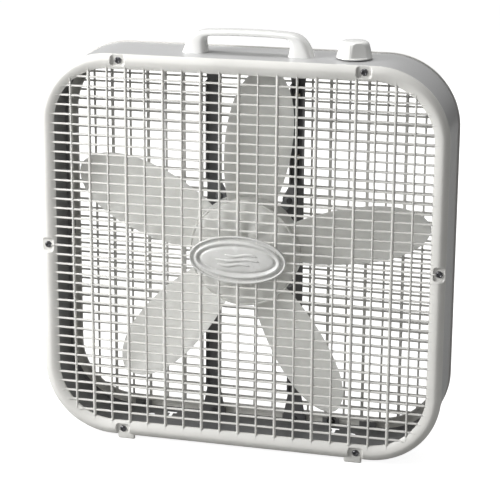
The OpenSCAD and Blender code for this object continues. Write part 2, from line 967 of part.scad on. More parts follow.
module switch_body() {
    color("#2d2d2f") translate([knob_x, 0, roof_z]) difference() {
        union() {
            translate([-switch_size[0] / 2, -switch_size[1] / 2, -switch_size[2]])
                cube(switch_size);
            cylinder(r = thread_r, h = sheet_t + knob_lift + nut_h - 1.5);
        }
        translate([0, 0, -11])
            cylinder(r = spindle_r + 0.05, h = 20);
    }
}

module switch_nut() {
    color("#b9bcbf") translate([knob_x, 0, shell_top]) difference() {
        cylinder(r = nut_r, h = nut_h, $fn = 6);
        translate([0, 0, -1])
            cylinder(r = thread_r, h = nut_h + 2);
    }
}

module switch_terminals() {
    color("#c9a24a") translate([knob_x, 0, roof_z - switch_size[2]])
        for (i = [-1.5 : 1.5])
            translate([i * 7, 0, -4])
                cube([0.8, 6.3, 8], center = true);
}

// ---- Wiring ----

// A rubber grommet where the cord enters, its mouth flush in the rear grille
module cord_grommet() {
    length = grommet_seat + sheet_t;
    color("#38383a") translate([grommet_x, seat_y - sheet_t, grommet_z])
        rotate([-90, 0, 0])
            difference() {
                union() {
                    translate([0, 0, -1.2])
                        cylinder(r = grommet_r + 1.4, h = 1.2);
                    cylinder(r = grommet_r, h = length + eps);
                    translate([0, 0, length])
                        cylinder(r = grommet_r + 2.3, h = 1.8);
                }
                translate([0, 0, -3])
                    cylinder(r = cord_bore_r, h = length + 8);
            }
}

function unit(v) = v / norm(v);
// A point on the smooth curve through four points, at share t from the second
function through(a, b, c, d, t) =
    0.5 * (2 * b + (c - a) * t + (2 * a - 5 * b + 4 * c - d) * t * t
        + (3 * b - a - 3 * c + d) * t * t * t);
function smooth(p, n) = [
    for (i = [0 : len(p) - 2], j = [0 : n - 1])
        through(p[max(i - 1, 0)], p[i], p[i + 1], p[min(i + 2, len(p) - 1)], j / n),
    p[len(p) - 1]];
function heading(p, i) = unit(p[min(i + 1, len(p) - 1)] - p[max(i - 1, 0)]);
// The side direction carried along the path without turning about it
function carry(p, u) = [
    for (i = 0, v = u; i < len(p);
         i = i + 1, v = i < len(p) ? unit(v - (v * heading(p, i)) * heading(p, i)) : v) v];

module tube(path, r, sides) {
    h = [for (i = [0 : len(path) - 1]) heading(path, i)];
    start = unit(cross(h[0], [0.3, 0.2, 1]));
    u = carry(path, start);
    points = [for (i = [0 : len(path) - 1], k = [0 : sides - 1])
        let (a = 360 * k / sides)
        path[i] + r * (cos(a) * u[i] + sin(a) * cross(h[i], u[i]))];
    walls = [for (i = [0 : len(path) - 2], k = [0 : sides - 1])
        let (a = i * sides + k, b = i * sides + (k + 1) % sides)
        each [[a, a + sides, b], [b, a + sides, b + sides]]];
    last = (len(path) - 1) * sides;
    polyhedron(points = points, faces = concat(walls,
        [[for (k = [0 : sides - 1]) k]],
        [[for (k = [sides - 1 : -1 : 0]) last + k]]));
}

// The lead runs out of the motor, up inside the strut and under the roof
function lead_route() = [
    [(stator_r - 7) * cos(lead_angle), lead_out_y, mid_z + (stator_r - 7) * sin(lead_angle)],
    [strut_x - 8, lead_out_y, mid_z + 20],
    [strut_x - 1, lead_out_y, mid_z + 40],
    [strut_x, channel_y - 0.15 * (channel_y - lead_out_y), mid_z + 75],
    [strut_x, channel_y, mid_z + 110],
    [strut_x, channel_y, mid_z + 160],
    [strut_x, channel_y, roof_z - 50],
    [strut_x, channel_y - 3, roof_z - 24],
    [strut_x + 2, channel_y - 12, roof_z - 8],
    [strut_x + 8, 20, under_roof],
    [strut_x + 18, roof_run_y + 3, under_roof],
    [strut_x + 30, roof_run_y, under_roof],
    [knob_x - 38, roof_run_y, under_roof],
    [knob_x - 25, roof_run_y - 4, roof_z - 8],
    [knob_x - 21, 2, roof_z - switch_size[2]],
    [knob_x - 17, 0, roof_z - switch_size[2] - 5],
    [knob_x - 12.5, 0, roof_z - switch_size[2] - 5]];
module motor_lead() {
    color("#2b2b2d")
        tube(smooth(lead_route(), 3), lead_r, 8);
}

module lead_clip() {
    difference() {
        union() {
            cylinder(r = lead_r + clip_gap, h = clip_l, center = true);
            translate([0, (lead_r + clip_gap) / 2, 0])
                cube([2 * lead_r, lead_r + clip_gap, clip_l], center = true);
        }
        cylinder(r = lead_r + 0.4, h = clip_l + 2, center = true);
    }
}
module lead_clips() {
    color("#d8d4c8") {
        for (z = [mid_z + 120, roof_z - 60])
            translate([strut_x, channel_y, z])
                lead_clip();
        translate([(strut_x + knob_x - 8) / 2, roof_run_y, under_roof])
            rotate([90, 0, 90])
                lead_clip();
    }
}

housing_shell();
front_grille();
rear_grille();
badge_plate();
badge_clips();
front_grille_screws();
rear_grille_screws();
carry_handle();
handle_screws();
motor_strut_left();
motor_strut_right();
strut_screws();
motor_rear_shield();
motor_front_shield();
stator_core();
stator_windings();
shading_rings();
thermal_fuse();
motor_bolts();
motor_nuts();
motor_mount_screws();
front_bearing();
rear_bearing();
fan_blade();
blade_clip();
motor_shaft();
rotor_core();
rotor_cage();
thrust_washers();
speed_knob();
switch_spindle();
switch_body();
switch_nut();
switch_terminals();
motor_lead();
lead_clips();
cord_grommet();
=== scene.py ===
"""A box fan: moulded grilles on a painted steel wrap, a five-bladed impeller on its
motor, a carrying handle and a speed knob. The fan faces -Y and stands on z = 0.
Sizes below are in millimetres; meshes are made in metres, in the CAD's own frame."""

import math

import bmesh
import bpy
from mathutils import Matrix, Vector


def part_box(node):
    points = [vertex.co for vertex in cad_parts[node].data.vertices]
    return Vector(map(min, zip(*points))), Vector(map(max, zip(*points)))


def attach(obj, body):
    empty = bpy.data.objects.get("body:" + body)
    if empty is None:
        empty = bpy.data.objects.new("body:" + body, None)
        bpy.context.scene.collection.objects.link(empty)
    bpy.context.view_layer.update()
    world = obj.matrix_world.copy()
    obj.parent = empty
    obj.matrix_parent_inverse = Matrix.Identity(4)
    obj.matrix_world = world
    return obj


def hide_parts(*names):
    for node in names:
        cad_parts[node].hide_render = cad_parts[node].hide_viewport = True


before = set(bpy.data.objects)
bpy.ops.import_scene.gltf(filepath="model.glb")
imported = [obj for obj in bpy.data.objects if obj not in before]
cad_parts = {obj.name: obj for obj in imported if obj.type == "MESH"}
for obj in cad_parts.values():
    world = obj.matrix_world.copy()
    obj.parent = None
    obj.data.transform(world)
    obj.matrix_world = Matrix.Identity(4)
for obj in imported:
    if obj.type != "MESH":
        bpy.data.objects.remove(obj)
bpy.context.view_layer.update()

MM = 0.001
WELD = 0.00001  # metres; points closer than this are made one


def span(node):
    """Lowest and highest corner of a CAD node, in millimetres."""
    low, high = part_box(node)
    return Vector(low) / MM, Vector(high) / MM


SHELL_LOW, SHELL_HIGH = span("housing_shell")
GRILLE_LOW, GRILLE_HIGH = span("front_grille")
BADGE_LOW, BADGE_HIGH = span("badge_plate")
HANDLE_LOW, HANDLE_HIGH = span("carry_handle")
KNOB_LOW, KNOB_HIGH = span("speed_knob")
BLADE_LOW = span("fan_blade")[0]

# Both grilles sit on the housing at y = SEAT and -SEAT, round the middle at MID_Z.
MID_Z = (SHELL_LOW.z + SHELL_HIGH.z) / 2
SEAT = SHELL_HIGH.y
FAN_W = GRILLE_HIGH.x - GRILLE_LOW.x
FAN_H = 2 * (GRILLE_HIGH.z - MID_Z)

# The border: how far it stands off its seat, its corner, width, wall, the ridge line's
# distance from its outer edge and how far its face falls away on both sides of it.
BORDER_D = -SEAT - GRILLE_LOW.y
CORNER_R, BORDER_W, BORDER_WALL = 96, 20, 2.2
CREST, FALL = 9.0, 4.6

# The opening as half width, half height and corner, and the bars across it.
OPENING = (FAN_W / 2 - BORDER_W, FAN_H / 2 - BORDER_W, CORNER_R - BORDER_W)
UPRIGHT_PITCH, CROSS_PITCH = 25.4, 13.0
WIDE_BAR, NARROW_BAR, CROSS_BAR = 4.0, 2.6, 2.6
BAR_BACK, BAR_DEPTH = 2.0, 4.0
CROSS_STEP = 0.6  # cross bars lie this much deeper than uprights, at face and back
BAR_OVERRUN = 5  # how far a bar's end runs on inside the border
BAR_MARGIN = 4  # room left between the outermost bar and the opening's edge
DOME = 2.6  # how far the bars bow out in the middle
RIDGE_L, RIDGE_W, RIDGE_H = 7.0, 3.0, 0.6  # a bar's end on the border's inner slope

# Screw wells as half width, half height and corner, with their floor above the seat.
SCREW_X, SCREW_INSET = 162, 8.2
WELL = (9.2, 7.2, 4.0)
WELL_FLOOR = 4.4

FOOT_X, FOOT_W = 158, 23.5
FOOT_H = MID_Z - FAN_H / 2


# ---- Mesh, node and material helpers ----


def piece_from(name, points, faces, finish=None, sharp=35):
    """A mesh piece from points in millimetres, with outward faces, smooth up to an angle."""
    mesh = bpy.data.meshes.new(name)
    mesh.from_pydata([tuple(c * MM for c in p) for p in points], [], faces)
    shape = bmesh.new()
    shape.from_mesh(mesh)
    bmesh.ops.remove_doubles(shape, verts=shape.verts, dist=WELD)
    bmesh.ops.dissolve_degenerate(shape, edges=shape.edges, dist=WELD / 2)
    bmesh.ops.recalc_face_normals(shape, faces=shape.faces)
    shape.to_mesh(mesh)
    shape.free()
    return object_from(name, mesh, finish, sharp)


def object_from(name, mesh, finish=None, sharp=35):
    """An object in the scene for a mesh, smooth up to an angle in degrees."""
    mesh.polygons.foreach_set("use_smooth", [True] * len(mesh.polygons))
    mesh.set_sharp_from_angle(angle=math.radians(sharp))
    if finish:
        mesh.materials.append(finish)
    piece = bpy.data.objects.new(name, mesh)
    bpy.context.scene.collection.objects.link(piece)
    return piece


def add_node(tree, kind, settings=None, links=None):
    """Adds one node, sets its properties and sockets, and links its inputs."""
    node = tree.nodes.new(kind)
    for key, value in (settings or {}).items():
        if isinstance(key, str) and hasattr(node, key):
            setattr(node, key, value)
        else:
            node.inputs[key].default_value = value
    for key, source in (links or {}).items():
        tree.links.new(source, node.inputs[key])
    return node


def plain_mesh(piece):
    """Turns the evaluated piece into a plain mesh and removes its modifiers."""
    depsgraph = bpy.context.evaluated_depsgraph_get()
    mesh = bpy.data.meshes.new_from_object(piece.evaluated_get(depsgraph), depsgraph=depsgraph)
    piece.modifiers.clear()
    old, piece.data = piece.data, mesh
    bpy.data.meshes.remove(old)


def joined(name, pieces):
    """Several pieces made into one mesh, with their materials kept."""
    with bpy.context.temp_override(active_object=pieces[0], selected_editable_objects=pieces):
        bpy.ops.object.join()
    pieces[0].name = name
    return pieces[0]


def linear(code):
    """An sRGB hex colour as linear red, green and blue, with a full alpha."""
    parts = [int(code[i : i + 2], 16) / 255 for i in (1, 3, 5)]
    parts = [c / 12.92 if c <= 0.04045 else ((c + 0.055) / 1.055) ** 2.4 for c in parts]
    return (*parts, 1.0)


def repeat_tree(name):
    """Copies of one part at points: each point holds its turn and its size. The result
    may bow out from the middle of an opening, as moulded grille bars do."""
    tree = bpy.data.node_groups.new(name, "GeometryNodeTree")
    for label, kind in (
        ("Geometry", "NodeSocketGeometry"),
        ("Part", "NodeSocketObject"),
        ("Finish", "NodeSocketMaterial"),
        ("Bow", "NodeSocketFloat"),
        ("Half Width", "NodeSocketFloat"),
        ("Half Height", "NodeSocketFloat"),
        ("Middle Height", "NodeSocketFloat"),
    ):
        tree.interface.new_socket(label, in_out="INPUT", socket_type=kind)
    tree.interface.new_socket("Geometry", in_out="OUTPUT", socket_type="NodeSocketGeometry")
    sizes = add_node(tree, "NodeGroupInput").outputs
    part = add_node(tree, "GeometryNodeObjectInfo", {}, {"Object": sizes["Part"]})
    turn, size = (add_node(tree, "GeometryNodeInputNamedAttribute",
                           {"data_type": "FLOAT_VECTOR", "Name": label})
                  for label in ("turn", "size"))
    facing = add_node(tree, "FunctionNodeEulerToRotation", {}, {0: turn.outputs[0]})
    copies = add_node(
        tree,
        "GeometryNodeInstanceOnPoints",
        {},
        {"Points": sizes["Geometry"], "Instance": part.outputs["Geometry"],
         "Rotation": facing.outputs[0], "Scale": size.outputs[0]},
    )
    real = add_node(tree, "GeometryNodeRealizeInstances", {}, {"Geometry": copies.outputs[0]})

    place = add_node(tree, "GeometryNodeInputPosition")
    axes = add_node(tree, "ShaderNodeSeparateXYZ", {}, {0: place.outputs[0]})
    height = add_node(tree, "ShaderNodeMath", {"operation": "SUBTRACT"},
                      {0: axes.outputs["Z"], 1: sizes["Middle Height"]})
    falls = []
    for along, half in ((axes.outputs["X"], sizes["Half Width"]),
                        (height.outputs[0], sizes["Half Height"])):
        share = add_node(tree, "ShaderNodeMath", {"operation": "DIVIDE"}, {0: along, 1: half})
        square = add_node(tree, "ShaderNodeMath", {"operation": "MULTIPLY"},
                          {0: share.outputs[0], 1: share.outputs[0]})
        falls.append(add_node(tree, "ShaderNodeMath",
                              {"operation": "SUBTRACT", 0: 1.0, "use_clamp": True},
                              {1: square.outputs[0]}))
    swell = add_node(tree, "ShaderNodeMath", {"operation": "MULTIPLY"},
                     {0: falls[0].outputs[0], 1: falls[1].outputs[0]})
    bow = add_node(tree, "ShaderNodeMath", {"operation": "MULTIPLY"},
                   {0: swell.outputs[0], 1: sizes["Bow"]})
    offset = add_node(tree, "ShaderNodeCombineXYZ", {}, {"Y": bow.outputs[0]})
    bent = add_node(tree, "GeometryNodeSetPosition", {},
                    {"Geometry": real.outputs[0], "Offset": offset.outputs[0]})
    solid = add_node(tree, "GeometryNodeSetMaterial", {},
                     {"Geometry": bent.outputs[0], "Material": sizes["Finish"]})
    add_node(tree, "NodeGroupOutput", {}, {0: solid.outputs[0]})
    return tree


REPEAT = repeat_tree("copies_at_points")


def repeated(name, part, places, finish, bow=0.0, sharp=35):
    """Copies of a part at places of (point, turn, size), bowed by some millimetres along
    Y; the part itself is used up."""
    cloud = bpy.data.meshes.new(name + "_points")
    cloud.from_pydata([tuple(c * MM for c in p[0]) for p in places], [], [])
    for label, column in (("turn", 1), ("size", 2)):
        layer = cloud.attributes.new(label, "FLOAT_VECTOR", "POINT")
        layer.data.foreach_set("vector", [c for p in places for c in p[column]])
    piece = bpy.data.objects.new(name, cloud)
    bpy.context.scene.collection.objects.link(piece)
    maker = piece.modifiers.new("copies", "NODES")
    maker.node_group = REPEAT
    values = {"Part": part, "Finish": finish, "Bow": bow * MM, "Half Width": FAN_W / 2 * MM,
              "Half Height": FAN_H / 2 * MM, "Middle Height": MID_Z * MM}
    for item in REPEAT.interface.items_tree:
        if item.in_out == "INPUT" and item.name in values:
            maker[item.identifier] = values[item.name]
    plain_mesh(piece)
    bpy.data.objects.remove(part)
    piece.data.polygons.foreach_set("use_smooth", [True] * len(piece.data.polygons))
    piece.data.set_sharp_from_angle(angle=math.radians(sharp))
    return piece


def lathe(profile, count):
    """Points and faces of a profile of (radius, height) turned about the Z axis."""
    points, rows, faces = [], [], []
    for radius, height in profile:
        if radius < 0.001:
            rows.append([len(points)] * count)
            points.append((0, 0, height))
        else:
            rows.append([len(points) + i for i in range(count)])
            for i in range(count):
                a = 2 * math.pi * i / count
                points.append((radius * math.cos(a), radius * math.sin(a), height))
    for low, high in zip(rows, rows[1:]):
        for i in range(count):
            j = (i + 1) % count
            face = []
            for k in (low[i], low[j], high[j], high[i]):
                if k not in face:
                    face.append(k)
            if len(face) > 2:
                faces.append(face)
    return points, faces


def grid_faces(rows, columns, closed_rows=False, closed_columns=False):
    """Quads of a grid of points held row by row."""
    faces = []
    for r in range(rows if closed_rows else rows - 1):
        for c in range(columns if closed_columns else columns - 1):
            n, m = (r + 1) % rows, (c + 1) % columns
            faces.append((r * columns + c, r * columns + m, n * columns + m, n * columns + c))
    return faces


# ---- Finishes ----


def surface(name, colour, roughness, metallic=0.0, ior=1.5):
    """A material with its shader's plain values set, and an Object coordinate to build on."""
    finish = bpy.data.materials.new(name)
    finish.use_nodes = True
    tree = finish.node_tree
    shader = tree.nodes["Principled BSDF"]
    shader.inputs["Base Color"].default_value = linear(colour)
    shader.inputs["Roughness"].default_value = roughness
    shader.inputs["Metallic"].default_value = metallic
    shader.inputs["IOR"].default_value = ior
    place = add_node(tree, "ShaderNodeTexCoord").outputs["Object"]
    return finish, tree, shader, place


def cloud_of(tree, place, size_mm, detail):
    """Soft noise whose features are about this many millimetres across."""
    return add_node(tree, "ShaderNodeTexNoise", {"Scale": 1000 / size_mm, "Detail": detail},
                    {"Vector": place}).outputs[0]


def tinted(tree, shader, factor, colours, stops=(0.3, 0.7)):
    """Colours the surface between two tones by a factor, spread between two stops."""
    ramp = add_node(tree, "ShaderNodeValToRGB", {}, {"Fac": factor})
    for end, colour, stop in zip(ramp.color_ramp.elements, colours, stops):
        end.color = linear(colour)
        end.position = stop
    tree.links.new(ramp.outputs[0], shader.inputs["Base Color"])


def gloss_range(tree, shader, factor, low, high):
    """Varies the surface's roughness between two values by a factor."""
    spread = add_node(tree, "ShaderNodeMapRange", {"To Min": low, "To Max": high},
                      {"Value": factor})
    tree.links.new(spread.outputs[0], shader.inputs["Roughness"])


def lit_through(shader, share, reach_mm):
    """Lets light soak through thin walls, as it does in unfilled plastics."""
    shader.inputs["Subsurface Weight"].default_value = share
    shader.inputs["Subsurface Radius"].default_value = (1.0, 1.0, 1.0)
    shader.inputs["Subsurface Scale"].default_value = reach_mm * MM


def stripes(tree, place, direction, step_mm, waver):
    """Bands, a little uneven. The wave texture turns 20 radians to a unit along an axis,
    so they lie about six of these steps apart, or twice that for diagonal ones."""
    return add_node(tree, "ShaderNodeTexWave",
                    {"bands_direction": direction, "Scale": 1000 / step_mm / 20,
                     "Distortion": waver, "Detail": 1.0},
                    {"Vector": place}).outputs[1]


def relief(tree, shader, height, depth_mm, strength=1.0):
    """Bumps of a real depth in millimetres."""
    bump = add_node(tree, "ShaderNodeBump", {"Strength": strength, "Distance": depth_mm * MM},
                    {"Height": height})
    tree.links.new(bump.outputs[0], shader.inputs["Normal"])


def white_polypropylene(name, soak):
    # Injection-moulded grille plastic: warm white, a soft gloss, faint flow marks
    # and a fine moulded grain, drawn at 1.1 mm so that it shows.
    # Soak is the share of light that passes through, more in the thin bars.
    finish, tree, shader, place = surface(name, "#D8D7D3", 0.34, ior=1.49)
    lit_through(shader, soak, 3)
    flow = cloud_of(tree, place, 45, 4)
    tinted(tree, shader, flow, ("#D5D4D0", "#DDDCD8"))
    gloss_range(tree, shader, flow, 0.27, 0.4)
    relief(tree, shader, cloud_of(tree, place, 1.1, 2), 0.03, 0.35)
    return finish


def polished_white_abs():
    # Glossy ABS of the handle and knob: whiter and smoother than the grilles.
    finish, tree, shader, place = surface("polished_white_abs", "#E8E8E5", 0.16, ior=1.53)
    flow = cloud_of(tree, place, 30, 3)
    tinted(tree, shader, flow, ("#E4E4E1", "#ECECEA"))
    gloss_range(tree, shader, flow, 0.12, 0.22)
    relief(tree, shader, cloud_of(tree, place, 2.5, 2), 0.02, 0.25)
    return finish


def satin_badge_abs():
    # The badge is moulded apart from the grille and is a shade greyer and smoother.
    finish, tree, shader, place = surface("satin_badge_abs", "#D3D3D0", 0.26, ior=1.53)
    flow = cloud_of(tree, place, 16, 3)
    tinted(tree, shader, flow, ("#CECECB", "#D8D8D6"))
    gloss_range(tree, shader, flow, 0.2, 0.32)
    relief(tree, shader, cloud_of(tree, place, 1.6, 2), 0.02, 0.3)
    return finish


def grey_blade_polypropylene():
    # Translucent pale grey polypropylene of the impeller: satin, slightly waxy.
    finish, tree, shader, place = surface("grey_blade_polypropylene", "#E3E3DF", 0.42, ior=1.49)
    lit_through(shader, 0.35, 4)
    flow = cloud_of(tree, place, 38, 4)
    tinted(tree, shader, flow, ("#E4E4E0", "#EEEEEA"))
    gloss_range(tree, shader, flow, 0.36, 0.5)
    relief(tree, shader, cloud_of(tree, place, 1.4, 2), 0.03, 0.3)
    return finish


def painted_steel_wrap():
    # Sheet steel, powder-painted silver grey outside; the inside faces are drawn dark grey as
    # painted shade, in large soft patches of lighter and darker. Which side a face is on follows
    # from its normal against its place.
    finish, tree, shader, place = surface("painted_steel_wrap", "#B4B4B4", 0.3, ior=1.5)
    normal = add_node(tree, "ShaderNodeTexCoord").outputs["Normal"]
    middle = add_node(tree, "ShaderNodeMapping", {"Location": (0, 0, -MID_Z * MM)},
                      {"Vector": place})
    flat = add_node(tree, "ShaderNodeVectorMath", {"operation": "MULTIPLY", 1: (1, 0, 1)},
                    {0: middle.outputs[0]})
    out = add_node(tree, "ShaderNodeVectorMath", {"operation": "DOT_PRODUCT"},
                   {0: flat.outputs[0], 1: normal})
    side = add_node(tree, "ShaderNodeMapRange", {"From Min": 0.0, "From Max": 0.02},
                    {"Value": out.outputs["Value"]})
    speck = cloud_of(tree, place, 3, 3)
    inner_shade_drift = cloud_of(tree, place, 120, 3)
    shade_and_paint_tones = []
    # the first tones are the inside's painted shade, the second the outside's silver paint
    for factor, tones in ((inner_shade_drift, ("#646465", "#8C8C8D")), (speck, ("#AEAEAE", "#B9B9B9"))):
        coat = add_node(tree, "ShaderNodeValToRGB", {}, {"Fac": factor})
        for end, tone in zip(coat.color_ramp.elements, tones):
            end.color = linear(tone)
        shade_and_paint_tones.append(coat.outputs[0])
    # inside faces (side near 0) take the painted shade, outside faces the paint
    both = add_node(tree, "ShaderNodeMix", {"data_type": "RGBA"},
                    {0: side.outputs[0], 6: shade_and_paint_tones[0], 7: shade_and_paint_tones[1]})
    tree.links.new(both.outputs[2], shader.inputs["Base Color"])
    gloss_range(tree, shader, speck, 0.24, 0.36)
    relief(tree, shader, cloud_of(tree, place, 2.2, 2), 0.02, 0.3)
    return finish


def grey_strut_enamel():
    # Mid grey stoved enamel on pressed steel: satin, a little orange peel.
    finish, tree, shader, place = surface("grey_strut_enamel", "#636365", 0.42)
    tinted(tree, shader, cloud_of(tree, place, 25, 4), ("#626264", "#787879"))
    relief(tree, shader, cloud_of(tree, place, 2, 2), 0.04, 0.4)
    return finish


def phosphated_steel():
    # Phosphated screw steel: grey, mostly metallic, with an oily sheen.
    finish, tree, shader, place = surface("phosphated_steel", "#6C6C6E", 0.34, metallic=0.85)
    spot = cloud_of(tree, place, 1.5, 3)
    tinted(tree, shader, spot, ("#5C5C5E", "#7C7C7F"))
    gloss_range(tree, shader, spot, 0.24, 0.42)
    return finish


def zinc_plated_steel():
    # Bright zinc plate on small steel parts, with a cloudy crystal look.
    finish, tree, shader, place = surface("zinc_plated_steel", "#B9BCC0", 0.3, metallic=1.0)
    bloom = cloud_of(tree, place, 4, 3)
    tinted(tree, shader, bloom, ("#A6A9AE", "#C6C9CC"))
    gloss_range(tree, shader, bloom, 0.22, 0.4)
    return finish


def cast_aluminium():
    # Die-cast end shields: matt, fine sandy skin.
    finish, tree, shader, place = surface("cast_aluminium", "#A9ABAD", 0.48, metallic=1.0)
    skin = cloud_of(tree, place, 2, 4)
    tinted(tree, shader, skin, ("#9A9C9F", "#B4B6B8"))
    relief(tree, shader, skin, 0.06, 0.5)
    return finish


def stacked_laminations():
    # Electrical steel sheets stacked along Y, with a bluish oxide and traces of varnish.
    # The bands that stand for them are far coarser than real sheets.
    finish, tree, shader, place = surface("stacked_laminations", "#63666A", 0.45, metallic=0.85)
    sheets = stripes(tree, place, "Y", 1.0, 0.3)
    tinted(tree, shader, sheets, ("#4B4E52", "#74777B"), (0.2, 0.8))
    relief(tree, shader, sheets, 0.15, 0.6)
    return finish


def turned_steel():
    # Ground shaft steel: bright, with fine rings round the axis.
    finish, tree, shader, place = surface("turned_steel", "#C2C4C6", 0.18, metallic=1.0)
    along = add_node(tree, "ShaderNodeMapping", {"Scale": (0, 1, 0)}, {"Vector": place})
    rings = add_node(tree, "ShaderNodeTexNoise", {"Scale": 900, "Detail": 1.0},
                     {"Vector": along.outputs[0]}).outputs[0]
    gloss_range(tree, shader, rings, 0.1, 0.3)
    tinted(tree, shader, rings, ("#B4B6B9", "#CCCED0"))
    return finish


def rolled_copper():
    # Bare copper bar of the shading rings, slightly toned.
    finish, tree, shader, place = surface("rolled_copper", "#B87345", 0.3, metallic=1.0)
    tone = cloud_of(tree, place, 5, 3)
    tinted(tree, shader, tone, ("#9C5A33", "#C98756"))
    gloss_range(tree, shader, tone, 0.24, 0.42)
    return finish


def enamelled_winding():
    # Magnet wire under red-brown varnish, drawn as bands far coarser than real wire.
    finish, tree, shader, place = surface("enamelled_winding", "#9A4A22", 0.32, metallic=0.35)
    wires = stripes(tree, place, "DIAGONAL", 0.9, 0.6)
    tinted(tree, shader, wires, ("#6E2F14", "#B2612F"), (0.15, 0.85))
    relief(tree, shader, wires, 0.25, 0.7)
    return finish


def sintered_bronze():
    # Oil-filled porous bronze sleeve bearing.
    finish, tree, shader, place = surface("sintered_bronze", "#A88248", 0.45, metallic=1.0)
    pores = cloud_of(tree, place, 0.8, 3)
    tinted(tree, shader, pores, ("#8A6734", "#B99358"))
    relief(tree, shader, pores, 0.05, 0.5)
    return finish


def natural_nylon():
    # Unpigmented nylon washers: milky, a little waxy.
    finish, tree, shader, place = surface("natural_nylon", "#E4DECB", 0.4, ior=1.53)
    tinted(tree, shader, cloud_of(tree, place, 6, 3), ("#DAD3BD", "#ECE7D8"))
    return finish


def brown_phenolic():
    # Pressed phenolic switch case: dark brown, faint filler speckle.
    finish, tree, shader, place = surface("brown_phenolic", "#2E231C", 0.35, ior=1.6)
    grit = cloud_of(tree, place, 1.2, 4)
    tinted(tree, shader, grit, ("#241A14", "#3B2E25"))
    relief(tree, shader, grit, 0.03, 0.4)
    return finish


def stamped_brass():
    # Brass terminal tabs, lightly tarnished.
    finish, tree, shader, place = surface("stamped_brass", "#C6A257", 0.28, metallic=1.0)
    tinted(tree, shader, cloud_of(tree, place, 3, 3), ("#AB8743", "#D3B36C"))
    return finish


def black_rubber():
    # Soft black rubber grommet, dusty sheen.
    finish, tree, shader, place = surface("black_rubber", "#1E1E1F", 0.6, ior=1.52)
    dust = cloud_of(tree, place, 2.5, 4)
    tinted(tree, shader, dust, ("#171718", "#2A2A2B"))
    relief(tree, shader, dust, 0.05, 0.4)
    return finish


def braided_sleeving():
    # Varnished glass sleeving over the motor lead, its braid drawn 1.2 mm wide.
    finish, tree, shader, place = surface("braided_sleeving", "#2B2B2E", 0.5)
    braid = add_node(tree, "ShaderNodeTexVoronoi", {"Scale": 1000 / 1.2}, {"Vector": place})
    tinted(tree, shader, braid.outputs[0], ("#3A3A3E", "#1C1C1E"), (0.0, 0.8))
    relief(tree, shader, braid.outputs[0], 0.12, 0.6)
    return finish


WHITE = white_polypropylene("moulded_white_polypropylene", 0.1)
THIN_WHITE = white_polypropylene("thin_white_polypropylene", 0.45)
GLOSS_WHITE = polished_white_abs()
BADGE_WHITE = satin_badge_abs()
BLADE_GREY = grey_blade_polypropylene()
SCREW_STEEL = phosphated_steel()
ZINC = zinc_plated_steel()


# ---- Grilles ----


def rim_stations():
    """Stations round the grille's outer edge: x, z from the middle, inward x, z."""
    half_w, half_h = FAN_W / 2, FAN_H / 2
    straight_w, straight_h = half_w - CORNER_R, half_h - CORNER_R
    well_reach, fine_step, fine_count = 16, 0.75, 20
    fine = [i * fine_step for i in range(-fine_count, fine_count + 1)]

    def run(length, wells):
        marks = {-length, length}
        marks.update(round(i * length / 4, 3) for i in range(-3, 4))
        for w in wells:
            marks = {m for m in marks if abs(m - w) > well_reach}
            marks.update(w + f for f in fine)
        return sorted(m for m in marks if -length <= m <= length)

    level = run(straight_w, (-SCREW_X, SCREW_X))
    upright = run(straight_h, (0,))
    bend = 30
    stations = []

    def corner(cx, cz, start):
        for i in range(1, bend):
            a = math.radians(start - 90 * i / bend)
            c, s = math.cos(a), math.sin(a)
            stations.append((cx + CORNER_R * c, cz + CORNER_R * s, -c, -s))

    stations += [(x, half_h, 0, -1) for x in level]
    corner(straight_w, straight_h, 90)
    stations += [(half_w, -z, -1, 0) for z in upright]
    corner(straight_w, -straight_h, 0)
    stations += [(-x, -half_h, 0, 1) for x in level]
    corner(-straight_w, -straight_h, -90)
    stations += [(-half_w, z, 1, 0) for z in upright]
    corner(-straight_w, straight_h, 180)
    return stations


def crown(p, wall=0.0):
    """Height of the border's face at a distance in from its outer edge: it slopes
    away from its ridge line both outwards and down to the bars."""
    run = CREST if p < CREST else BORDER_W - CREST
    return BORDER_D - wall - FALL * (abs(p - CREST) / run) ** 1.7


def well_share(x, z):
    """How far a place on the border lies inside a screw well, from 0 to 1."""
    best = 0.0
    half_w, half_h = FAN_W / 2, FAN_H / 2
    slope = 2.2  # width of the well's sloping side
    for cx, cz, level, open_edge in (
        (-SCREW_X, half_h - SCREW_INSET, True, False), (SCREW_X, half_h - SCREW_INSET, True, False),
        (-SCREW_X, SCREW_INSET - half_h, True, True), (SCREW_X, SCREW_INSET - half_h, True, True),
        (half_w - SCREW_INSET, 0, False, False), (SCREW_INSET - half_w, 0, False, False),
    ):
        dx, dz = abs(x - cx), abs(z - cz)
        if not level:
            dx, dz = dz, dx
        if open_edge and z < cz:
            dz = 0
        a, b, r = WELL
        ex, ez = max(dx - a + r, 0), max(dz - b + r, 0)
        gap = math.hypot(ex, ez) + min(max(dx - a + r, dz - b + r), 0) - r
        share = min(1.0, max(0.0, 0.5 - gap / slope))
        best = max(best, share * share * (3 - 2 * share))
    return best


